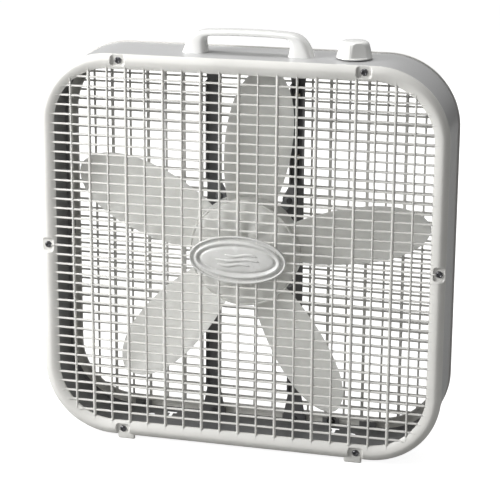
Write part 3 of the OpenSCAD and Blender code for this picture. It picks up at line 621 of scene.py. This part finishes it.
def border():
    """The grille's moulded border: a hollow crowned ring with scooped screw wells,
    facing +q from the seat plane at q = 0. Points come back as (x, q, z)."""
    lip = [(4.0, 0.0), (4.0, 1.4), (0.0, 1.4), (0.0, 3.4)]
    steps = 30
    face = [(p, crown(p)) for p in (BORDER_W * i / steps for i in range(steps + 1))]
    edge = [(BORDER_W, 3.2), (BORDER_W, BAR_BACK), (BORDER_W - 2, BAR_BACK)]
    inside = [(p, crown(p, BORDER_WALL)) for p in (17.6, 16, 13, 10, 7, 4.4)] + [(5.8, 0.0)]
    # the lip's last point and the face sink to the well's floor, the inside to below it
    first, after = len(lip) - 1, len(lip) + len(face)
    floors = {k: WELL_FLOOR for k in range(first, after)}
    outside = lip + face + edge
    floors.update({len(outside) + k: WELL_FLOOR - 2 for k in range(len(inside))})
    points = []
    for x, z, nx, nz in rim_stations():
        for k, (p, q) in enumerate(outside + inside):
            px, pz = x + nx * p, z + nz * p
            if q > floors.get(k, q):
                q += (floors[k] - q) * well_share(px, pz)
            points.append((px, q, pz))
    columns = len(outside) + len(inside)
    faces = grid_faces(len(points) // columns, columns, True, True)
    return points, faces


def rounded_block(low, high, radius):
    """A box with all its edges rounded, as points and faces."""
    shape = bmesh.new()
    bmesh.ops.create_cube(shape, size=1)
    for v in shape.verts:
        v.co = Vector(low[i] if v.co[i] < 0 else high[i] for i in range(3))
    bmesh.ops.bevel(shape, geom=list(shape.edges), offset=radius, segments=4, profile=0.5,
                    affect="EDGES", clamp_overlap=True)
    shape.verts.index_update()
    points = [tuple(v.co) for v in shape.verts]
    faces = [[v.index for v in f.verts] for f in shape.faces]
    shape.free()
    return points, faces


def bar_part():
    """One grille bar, unit sized: half length 1 along X, half width 1 along Z, depth 1."""
    section = [(-1, 0), (-1, -0.55), (-0.86, -0.8), (-0.5, -0.96), (0, -1.0),
               (0.5, -0.96), (0.86, -0.8), (1, -0.55), (1, 0)]
    stations = 24
    points = [(-1 + 2 * i / stations, y, z) for i in range(stations + 1) for z, y in section]
    n = len(section)
    faces = grid_faces(stations + 1, n, False, True)
    faces += [list(range(n)), list(range(stations * n, stations * n + n))]
    return piece_from("bar_part", [tuple(c / MM for c in p) for p in points], faces)


def ridge_part():
    """The tapered end of a bar on the border's inner slope. It runs outwards from just
    inside the opening's edge at x = 0, narrows, and sinks into the border's face."""
    foot_half, taper = 1.5, 0.14
    rounding, depth = 1.2, 2.6
    points, n = [], 7
    marks = (-1.0, 0.0, 0.8, 2.0, 3.2, 4.4, 5.6, RIDGE_L)
    for u in marks:
        half = foot_half - taper * max(u, 0)
        top = BAR_BACK + BAR_DEPTH - CROSS_STEP
        if u >= 0:
            top = crown(BORDER_W - u) + RIDGE_H * (1 - u / RIDGE_L)
        for k in range(n):
            a = math.pi * k / (n - 1)
            height = top - depth
            if 0 < k < n - 1:
                height = top - rounding + rounding * math.sin(a) ** 0.6
            points.append((u, -height, half * -math.cos(a)))
    faces = grid_faces(len(marks), n, False, True)
    faces += [list(range(n)), list(range(len(points) - n, len(points)))]
    return piece_from("ridge_part", points, faces)


def reach(u, half_u, half_v, r):
    """Half length of a bar at offset u inside the rounded opening."""
    if abs(u) <= half_u - r:
        return half_v
    return half_v - r + math.sqrt(max(0.0, r * r - (abs(u) - half_u + r) ** 2))


def grille(name, side, node):
    """One grille: side is -1 for the front and +1 for the back."""
    half_w, half_h, r = OPENING
    points, faces = border()
    for sx in (-1, 1):
        block, quads = rounded_block(
            (sx * FOOT_X - FOOT_W / 2, 0.0, -FAN_H / 2 - FOOT_H),
            (sx * FOOT_X + FOOT_W / 2, WELL_FLOOR + 1.0, -FAN_H / 2 + 5), 1.6)
        faces += [[len(points) + k for k in q] for q in quads]
        points += block
    placed = [(x, side * (SEAT + q), MID_Z + z) for x, q, z in points]
    ring = piece_from(name + "_border", placed, faces, WHITE, 40)

    places, ends = [], []
    flip = 0.0 if side < 0 else math.pi
    base = SEAT + BAR_BACK
    ups = math.floor((half_w - BAR_MARGIN) / UPRIGHT_PITCH)
    for i in range(-ups, ups + 1):
        x = i * UPRIGHT_PITCH
        run = reach(x, half_w, half_h, r)
        width = WIDE_BAR if i % 2 == 0 else NARROW_BAR
        places.append(((x, side * base, MID_Z), (0, math.pi / 2, flip),
                       ((run + BAR_OVERRUN) * MM, BAR_DEPTH * MM, width / 2 * MM)))
        for s in (-1, 1):
            ends.append(((x, side * SEAT, MID_Z + s * run), (0, -s * math.pi / 2, 0),
                         (1, 1, width / RIDGE_W)))
    crosses = math.floor((half_h - BAR_MARGIN) / CROSS_PITCH)
    for k in range(-crosses, crosses + 1):
        z = k * CROSS_PITCH
        run = reach(z, half_h, half_w, r)
        places.append(((0, side * (base + CROSS_STEP), MID_Z + z), (0, 0, flip),
                       ((run + BAR_OVERRUN) * MM, (BAR_DEPTH - 2 * CROSS_STEP) * MM,
                        CROSS_BAR / 2 * MM)))
        for s in (-1, 1):
            ends.append(((s * run, side * SEAT, MID_Z + z), (0, 0 if s > 0 else math.pi, 0),
                         (1, 1, CROSS_BAR / RIDGE_W)))
    bars = repeated(name + "_bars", bar_part(), places, THIN_WHITE, side * DOME)
    if side > 0:  # the back's ridges are turned over, those of cross bars about X
        ends = [(place, (math.pi, turn, 0) if abs(turn) in (0, math.pi) else (0, turn, math.pi),
                 size) for place, (_, turn, _), size in ends]
    ridges = repeated(name + "_ridges", ridge_part(), ends, WHITE)
    piece = joined(name, [ring, bars, ridges])
    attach(piece, "root")
    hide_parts(node)


grille("front_grille_moulding", -1, "front_grille")
grille("rear_grille_moulding", 1, "rear_grille")


# ---- Screws ----


def screw_part():
    """A pan head with a cross recess, its seat at y = 0 and its head towards -Y."""
    count = 40
    points, faces = lathe([(4.6, 0.0), (4.5, 0.7), (4.1, 1.5), (3.4, 2.1), (2.4, 2.45), (1.2, 2.58),
                           (0.3, 2.6), (0.0, 2.6)], count)
    arm_half, arm_end, arm_slope, cross_depth = 0.85, 3.0, 0.9, 2.1
    head = []
    for x, y, z in points:
        near, far = sorted((abs(x), abs(y)))
        if near < arm_half and far < arm_end:
            z -= cross_depth * min(1.0, (arm_end - far) / arm_slope)
        head.append((x, y, z))
    stem, quads = lathe([(4.6, 0.0), (1.9, 0.0), (1.9, -8.0), (0.0, -8.6)], count)
    faces += [[k + len(head) for k in f] for f in quads]
    points = head + stem
    return piece_from("screw_part", [(x, -z, y) for x, y, z in points], faces, None, 30)


def grille_screws(name, side, node):
    """The six screws of one grille, each turned to an angle of its own."""
    spots = [(sx * SCREW_X, MID_Z + sz * (FAN_H / 2 - SCREW_INSET))
             for sx in (-1, 1) for sz in (-1, 1)]
    spots += [(sx * (FAN_W / 2 - SCREW_INSET), MID_Z) for sx in (-1, 1)]
    flip = 0.0 if side < 0 else math.pi
    places = [((x, side * (SEAT + WELL_FLOOR), z), (0, 0.35 + 0.7 * k, flip), (1, 1, 1))
              for k, (x, z) in enumerate(spots)]
    piece = repeated(name, screw_part(), places, SCREW_STEEL, sharp=30)
    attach(piece, "root")
    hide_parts(node)


grille_screws("front_pan_screws", -1, "front_grille_screws")
grille_screws("rear_pan_screws", 1, "rear_grille_screws")


# ---- Badge ----


def badge():
    """An oval plate: thin rim, groove, bevelled ring and a domed face with a breeze mark,
    three plain waves. Rings are insets from the plate's edge and heights above its back."""
    a0, b0 = (BADGE_HIGH.x - BADGE_LOW.x) / 2, (BADGE_HIGH.z - BADGE_LOW.z) / 2
    rings = [(0, -0.6), (0, 1.2), (0.2, 1.9), (0.8, 2.3), (1.6, 2.3), (2.3, 1.8), (2.7, 0.9),
             (2.9, -0.5), (6.6, -0.5), (6.8, 0.6), (7.2, 2.0), (8.2, 2.9), (9.4, 3.1), (10.4, 2.9),
             (11.4, 2.1), (12.4, 0.9), (13.2, 0.2), (14.4, 0.1), (15.2, 0.6), (16.2, 1.5),
             (18, 2.0), (21, 2.3), (24, 2.5), (26.5, 2.6)]
    count = 128
    back = GRILLE_LOW.y + (BORDER_D - BAR_BACK - BAR_DEPTH)
    lift = DOME + 0.1  # clears the bowed bars behind it
    points = []
    for inset, q in rings:
        for i in range(count):
            t = 2 * math.pi * i / count
            points.append(((a0 - inset) * math.cos(t), back - lift - q,
                           MID_Z + (b0 - inset) * math.sin(t)))
    faces = grid_faces(len(rings), count, False, True)
    faces.append(list(range((len(rings) - 1) * count, len(rings) * count)))
    faces.append(list(range(count)))
    plate = piece_from("badge", points, faces, BADGE_WHITE, 40)

    marks = []
    row_pitch, wave_half, wave_rise, mark_q, mark_relief = 6.6, 2.1, 1.6, 2.5, 1.5
    n, around = 28, 8
    for row, (length, shift) in enumerate(((22, 5), (30, 0), (22, -5))):
        height = (1 - row) * row_pitch
        pts = []
        for i in range(n + 1):
            u = -1 + 2 * i / n
            half = wave_half * math.sqrt(max(0.0, 1 - u**4)) + 0.02
            x = shift + u * length
            z = height + wave_rise * math.sin(u * 3.3)
            for k in range(around):
                c, s = math.cos(2 * math.pi * k / around), math.sin(2 * math.pi * k / around)
                pts.append((x, back - lift - mark_q - mark_relief * s * min(1, half),
                            MID_Z + z + half * c))
        quads = grid_faces(n + 1, around, False, True)
        quads += [list(range(around)), list(range(n * around, n * around + around))]
        marks.append(piece_from("breeze_%d" % row, pts, quads, BADGE_WHITE, 50))
    piece = joined("oval_badge", [plate] + marks)
    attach(piece, "root")
    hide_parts("badge_plate")


badge()


# ---- Carrying handle ----


def handle():
    """A strap handle: flared feet, rounded shoulders and a thin arched grip."""
    half = (HANDLE_HIGH.x - HANDLE_LOW.x) / 2
    deep = (HANDLE_HIGH.y - HANDLE_LOW.y) / 2
    foot = HANDLE_LOW.z
    tall = HANDLE_HIGH.z - foot
    # outer and inner edge of the right half of the strap, from foot to middle, drawn for
    # a half length of 88 and a height of 32, and its depth as a share of the foot's
    drawn_half, drawn_tall = 88, 32
    outer = [(88, 0), (87.4, 2.2), (86, 5.5), (84, 10), (81.4, 15), (78, 20), (73.5, 24.6),
             (67.5, 28), (60, 29.9), (50, 30.7), (36, 31.4), (18, 31.85), (0, 32)]
    inner = [(54, 0), (54.4, 2.2), (55.2, 5.5), (56, 9.5), (56.4, 13.5), (56.4, 16.8), (55.8, 19.6),
             (54, 21.6), (50.5, 22.7), (44, 23.2), (32, 23.7), (16, 24), (0, 24.1)]
    widths = [1.0, 1.0, 0.985, 0.965, 0.945, 0.92, 0.9, 0.885, 0.875, 0.865, 0.86, 0.855, 0.85]
    stations = list(zip(outer, inner, widths))
    stations = [((-o[0], o[1]), (-i[0], i[1]), w) for o, i, w in stations] + stations[-2::-1]
    around, squareness = 28, 0.62
    points = []
    for (ox, oz), (ix, iz), w in stations:
        ox, ix = ox * half / drawn_half, ix * half / drawn_half
        oz, iz = oz * tall / drawn_tall, iz * tall / drawn_tall
        cx, cz = (ox + ix) / 2, (oz + iz) / 2
        hx, hz = (ox - ix) / 2, (oz - iz) / 2
        for k in range(around):
            t = 2 * math.pi * k / around
            c, s = math.cos(t), math.sin(t)
            e = math.copysign(abs(c) ** squareness, c)
            f = math.copysign(abs(s) ** squareness, s)
            points.append((cx + hx * e, deep * w * f, foot + cz + hz * e))
    n = len(stations)
    faces = grid_faces(n, around, False, True)
    faces += [list(range(around)), list(range((n - 1) * around, n * around))]
    piece = piece_from("strap_handle", points, faces, GLOSS_WHITE, 60)
    smooth = piece.modifiers.new("smooth", "SUBSURF")
    smooth.levels = smooth.render_levels = 2
    # the feet's lower edges stay crisp where they meet the housing
    heights = [v.co.z / MM for v in piece.data.vertices]
    crisp = [max(heights[k] for k in edge.vertices) < foot + 0.01 for edge in piece.data.edges]
    for edge, kept in zip(piece.data.edges, crisp):
        if kept:
            edge.use_edge_sharp = True
    crease = piece.data.attributes.new("crease_edge", "FLOAT", "EDGE")
    crease.data.foreach_set("value", [float(kept) for kept in crisp])
    plain_mesh(piece)
    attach(piece, "root")
    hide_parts("carry_handle")


handle()


# ---- Speed knob ----


def knob():
    """A drafted knob with a rounded top, one flat facet and a raised pointer line."""
    foot_r = (KNOB_HIGH.x - KNOB_LOW.x) / 2
    cx, cy = (KNOB_HIGH.x + KNOB_LOW.x) / 2, (KNOB_HIGH.y + KNOB_LOW.y) / 2
    low, tall = KNOB_LOW.z, KNOB_HIGH.z - KNOB_LOW.z
    # shares of the foot's radius against heights, drawn for a knob 22 tall
    drawn_tall = 22
    profile = [(0.80, 0.6), (0.985, 0.0), (1.0, 0.35), (1.0, 1.3), (0.985, 2.2), (0.955, 4.5),
               (0.915, 8), (0.875, 12), (0.84, 15.2), (0.815, 17.4), (0.785, 19.0), (0.735, 20.3),
               (0.66, 21.2), (0.55, 21.6), (0.4, 21.85), (0.2, 21.97), (0.08, 22.0)]
    count = 144
    facing = math.radians(-62)  # where the facet faces at rest
    points = []
    for share, height in profile:
        r = foot_r * share
        flat = foot_r * (0.87 - 0.0075 * height)  # the facet leans in as it rises
        for i in range(count):
            t = 2 * math.pi * i / count
            turn = math.cos(t - facing)
            rr = r
            if turn > 0.2 and 2.0 < height < 21.0:
                rr = min(r, flat / turn)
            points.append((cx + rr * math.cos(t), cy + rr * math.sin(t),
                           low + height * tall / drawn_tall))
    faces = grid_faces(len(profile), count, False, True)
    faces.append(list(range((len(profile) - 1) * count, len(profile) * count)))
    faces.append(list(range(count)))
    cone = piece_from("knob_cone", points, faces, GLOSS_WHITE, 38)

    line = math.radians(-96)  # where the pointer stands at rest
    pts = []
    for share, height in ((0.992, 1.2), (0.955, 5), (0.9, 10), (0.85, 15), (0.815, 18.0)):
        r = foot_r * share
        for side, out in ((-0.55, -0.5), (-0.45, 0.35), (0.45, 0.35), (0.55, -0.5)):
            a = line + side / r
            pts.append((cx + (r + out) * math.cos(a), cy + (r + out) * math.sin(a),
                        low + height * tall / drawn_tall))
    quads = grid_faces(5, 4, False, True) + [[0, 1, 2, 3], [16, 17, 18, 19]]
    pointer = piece_from("knob_pointer", pts, quads, GLOSS_WHITE, 50)
    piece = joined("drafted_knob", [cone, pointer])
    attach(piece, "knob")
    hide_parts("speed_knob")


knob()


# ---- Impeller ----


def bezier(t, a, b, c, d):
    """A cubic Bezier curve through a and d, drawn towards b and c."""
    return a * (1 - t) ** 3 + 3 * b * t * (1 - t) ** 2 + 3 * c * t * t * (1 - t) + d * t**3


def blade_part(hub_r, tip_r, thick):
    """One petal blade, along +X with its front towards +Z, tapered to thin edges: t runs
    from root to tip and s across, pitch is its slope and cup its hollow."""
    widest, root_half, tip_half, cup_depth = 47, 30, 3, 5
    root = hub_r - 1.6  # the blade starts inside the hub's wall
    tip_zone = 0.9
    along, across = 30, 20
    skins = []
    for lift in (-1, 1):
        for i in range(along + 1):
            t = i / along
            r = root + (tip_r - root) * bezier(t, 0, 0.36, 0.92, 1)
            half = bezier(t, root_half, widest + 3, widest + 4, tip_half)
            pitch = 0.42 - 0.18 * t
            end = 1.0
            if t >= tip_zone:
                end = max(0.0, 1 - ((t - tip_zone) / (1 - tip_zone)) ** 4) ** 0.5
            for j in range(across + 1):
                s = -math.cos(math.pi * j / across)
                n = s * half
                a = n / r
                cup = cup_depth * (1 - s * s) * half / widest
                edge = max(0.0, 1 - s**6) ** 0.5 * (1 - 0.25 * t) * end
                skins.append((r * math.cos(a), r * math.sin(a),
                              pitch * n - cup + 1 + lift * thick / 2 * max(edge, 0.12)))
    columns, m = across + 1, (along + 1) * (across + 1)
    low = grid_faces(along + 1, columns)
    faces = low + [tuple(k + m for k in f) for f in low]
    for i in range(along):
        for c in (0, across):
            k = i * columns + c
            faces.append((k, k + columns, k + columns + m, k + m))
    for i in (0, along):
        for c in range(across):
            k = i * columns + c
            faces.append((k, k + 1, k + 1 + m, k + m))
    return piece_from("blade_part", skins, faces, None, 50)


def impeller():
    """Five blades round a domed, fluted hub that is open at the back."""
    hub_r, hub_deep, tip_r = 74.0, 38, 252.0
    hub_back, blade_y = BLADE_LOW.y + hub_deep, -8.0
    blade_count, first_blade = 5, 11.5
    spots = [((0, blade_y, MID_Z),
              (math.pi / 2, -math.radians(first_blade + 360 // blade_count * i), 0), (1, 1, 1))
             for i in range(blade_count)]
    blades = repeated("blades", blade_part(hub_r, tip_r, 2.2), spots, BLADE_GREY, sharp=50)

    # outer and inner face of the hub as radius against height from its open back
    outer = [(74, 0.0), (74, 10), (74, 20), (74, 26), (73.6, 28.2), (73.2, 30.2), (72.6, 31.0),
             (71.6, 31.1), (70.8, 30.2), (67.5, 32.6), (64, 33.8), (59, 35.0), (52, 36.1),
             (44, 36.9), (36, 37.4), (28, 37.7), (20, 37.9), (15, 38.0), (14, 37.2), (9.5, 37.0),
             (9, 38.0), (4.2, 38.0), (4.2, 20.0)]
    inner = [(9, 20.0), (9, 33.5), (20, 35.4), (36, 35.0), (52, 33.8), (64, 31.4), (69, 29.4),
             (71.4, 27.5), (71.8, 25), (71.8, 0.0)]
    count = 240
    points, faces = lathe(outer + inner, count)
    last = len(points) - count
    for i in range(count):
        j = (i + 1) % count
        faces.append([i, j, last + j, last + i])
    flutes, flute_from, flute_to, flute_depth, wall_top = 12, 16, 70.5, 2.2, 26
    dipped = []
    for index, (x, y, z) in enumerate(points):
        r = math.hypot(x, y)
        if index < len(outer) * count and flute_from < r < flute_to and z > wall_top:
            a = math.atan2(y, x)
            wave = 0.5 - 0.5 * math.cos(flutes * a)
            band = math.sin(math.pi * (r - flute_from) / (flute_to - flute_from)) ** 0.6
            z -= flute_depth * wave * band
        dipped.append((x, y, z))
    placed = [(x, hub_back - z, MID_Z + y) for x, y, z in dipped]
    hub = piece_from("hub", placed, faces, BLADE_GREY, 40)
    piece = joined("impeller", [blades, hub])
    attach(piece, "rotor")
    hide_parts("fan_blade")


impeller()


# ---- CAD nodes that keep their own shape ----

FINISHES = {
    "housing_shell": painted_steel_wrap(),
    "badge_clips": ZINC,
    "handle_screws": ZINC,
    "motor_strut_left": grey_strut_enamel(),
    "strut_screws": SCREW_STEEL,
    "motor_rear_shield": cast_aluminium(),
    "stator_core": stacked_laminations(),
    "stator_windings": enamelled_winding(),
    "shading_rings": rolled_copper(),
    "thermal_fuse": natural_nylon(),
    "motor_bolts": ZINC,
    "motor_nuts": ZINC,
    "motor_mount_screws": SCREW_STEEL,
    "front_bearing": sintered_bronze(),
    "blade_clip": ZINC,
    "motor_shaft": turned_steel(),
    "switch_body": brown_phenolic(),
    "switch_nut": ZINC,
    "switch_terminals": stamped_brass(),
    "motor_lead": braided_sleeving(),
    "cord_grommet": black_rubber(),
}
SAME_AS = {
    "motor_strut_right": "motor_strut_left",
    "motor_front_shield": "motor_rear_shield",
    "rear_bearing": "front_bearing",
    "rotor_core": "stator_core",
    "rotor_cage": "motor_rear_shield",
    "thrust_washers": "thermal_fuse",
    "switch_spindle": "motor_shaft",
    "lead_clips": "thermal_fuse",
}
for node, other in SAME_AS.items():
    FINISHES[node] = FINISHES[other]
for node, finish in FINISHES.items():
    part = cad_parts[node]
    if not part.material_slots:
        part.data.materials.append(finish)
    for slot in part.material_slots:
        slot.material = finish


# ---- Studio ----

PAPER_GLOW = 0.92
PAPER_HALF = 8  # metres
WORLD_LIGHT = 0.23


def paper_floor():
    # Matt studio paper: grey to the lights, so that it throws no more light back up at
    # the fan than the picture shows, with a glow for the camera alone that makes it white.
    finish, tree, shader, place = surface("studio_paper", "#A2A2A1", 0.9)
    shader.inputs["Specular IOR Level"].default_value = 0.0
    tinted(tree, shader, cloud_of(tree, place, 300, 2), ("#A1A1A0", "#A3A3A2"))
    path = add_node(tree, "ShaderNodeLightPath")
    glow = add_node(tree, "ShaderNodeEmission", {"Color": linear("#FFFFFF")},
                    {"Strength": path.outputs["Is Camera Ray"]})
    dim = add_node(tree, "ShaderNodeMixShader", {0: PAPER_GLOW}, {2: glow.outputs[0]})
    both = add_node(tree, "ShaderNodeAddShader", {}, {0: shader.outputs[0], 1: dim.outputs[0]})
    tree.links.new(both.outputs[0], tree.nodes["Material Output"].inputs["Surface"])
    mesh = bpy.data.meshes.new("floor")
    h = PAPER_HALF
    mesh.from_pydata([(-h, -h, 0), (h, -h, 0), (h, h, 0), (-h, h, 0)], [], [(0, 1, 2, 3)])
    floor = object_from("floor", mesh, finish)


def soft_light(name, place, aim, size, power, mirrored=True):
    """A rectangular light in metres and watts; mirrored says if glossy surfaces see it."""
    light = bpy.data.lights.new(name, "AREA")
    light.shape = "RECTANGLE"
    light.size, light.size_y = size
    light.energy = power
    lamp = bpy.data.objects.new(name, light)
    lamp.location = place
    lamp.rotation_euler = (Vector(aim) - Vector(place)).to_track_quat("-Z", "Y").to_euler()
    lamp.visible_glossy = mirrored
    bpy.context.scene.collection.objects.link(lamp)


def studio():
    """The floor, four soft lights, and a world that is dim as a light and white to see."""
    paper_floor()
    soft_light("key", (-1.25, -0.75, 0.95), (-0.1, 0, 0.3), (0.6, 0.7), 31)
    soft_light("front", (-0.9, -3.0, 1.6), (0, 0, 0.3), (1.4, 1.2), 9)
    soft_light("top", (-0.2, 0.2, 2.3), (-0.1, 0, 0.3), (1.2, 1.0), 28)
    soft_light("sweep", (-0.2, 2.4, 0.9), (0, 0, 0.3), (2.2, 1.6), 28, False)
    world = bpy.data.worlds.new("studio")
    world.use_nodes = True
    tree = world.node_tree
    lit = tree.nodes["Background"]
    lit.inputs[0].default_value = linear("#FFFFFF")
    lit.inputs[1].default_value = WORLD_LIGHT
    seen = add_node(tree, "ShaderNodeBackground", {"Color": linear("#FFFFFF"), "Strength": 1.0})
    path = add_node(tree, "ShaderNodeLightPath")
    both = add_node(tree, "ShaderNodeMixShader", {},
                    {0: path.outputs["Is Camera Ray"], 1: lit.outputs[0], 2: seen.outputs[0]})
    tree.links.new(both.outputs[0], tree.nodes["World Output"].inputs["Surface"])
    bpy.context.scene.world = world
    bpy.context.scene.view_settings.view_transform = "Standard"


def camera():
    """From the right and a little above, fitted to the picture's corners; the shift puts
    the vanishing points off the middle of the frame, as they are there."""
    lens = bpy.data.cameras.new("camera")
    lens.lens, lens.sensor_width = 124.1, 36
    lens.shift_x, lens.shift_y = 0.1, -0.1
    view = bpy.data.objects.new("camera", lens)
    stand = (0.520, -2.1555, 0.950)
    turn, tilt, roll = math.radians(-15.2), math.radians(-15.41), math.radians(-0.14)
    level = math.cos(tilt)
    look = Vector((math.sin(turn) * level, math.cos(turn) * level, math.sin(tilt)))
    facing = look.to_track_quat("-Z", "Y").to_matrix().to_4x4()
    view.matrix_world = Matrix.Translation(stand) @ facing @ Matrix.Rotation(roll, 4, "Z")
    bpy.context.scene.collection.objects.link(view)
    bpy.context.scene.camera = view


studio()
camera()
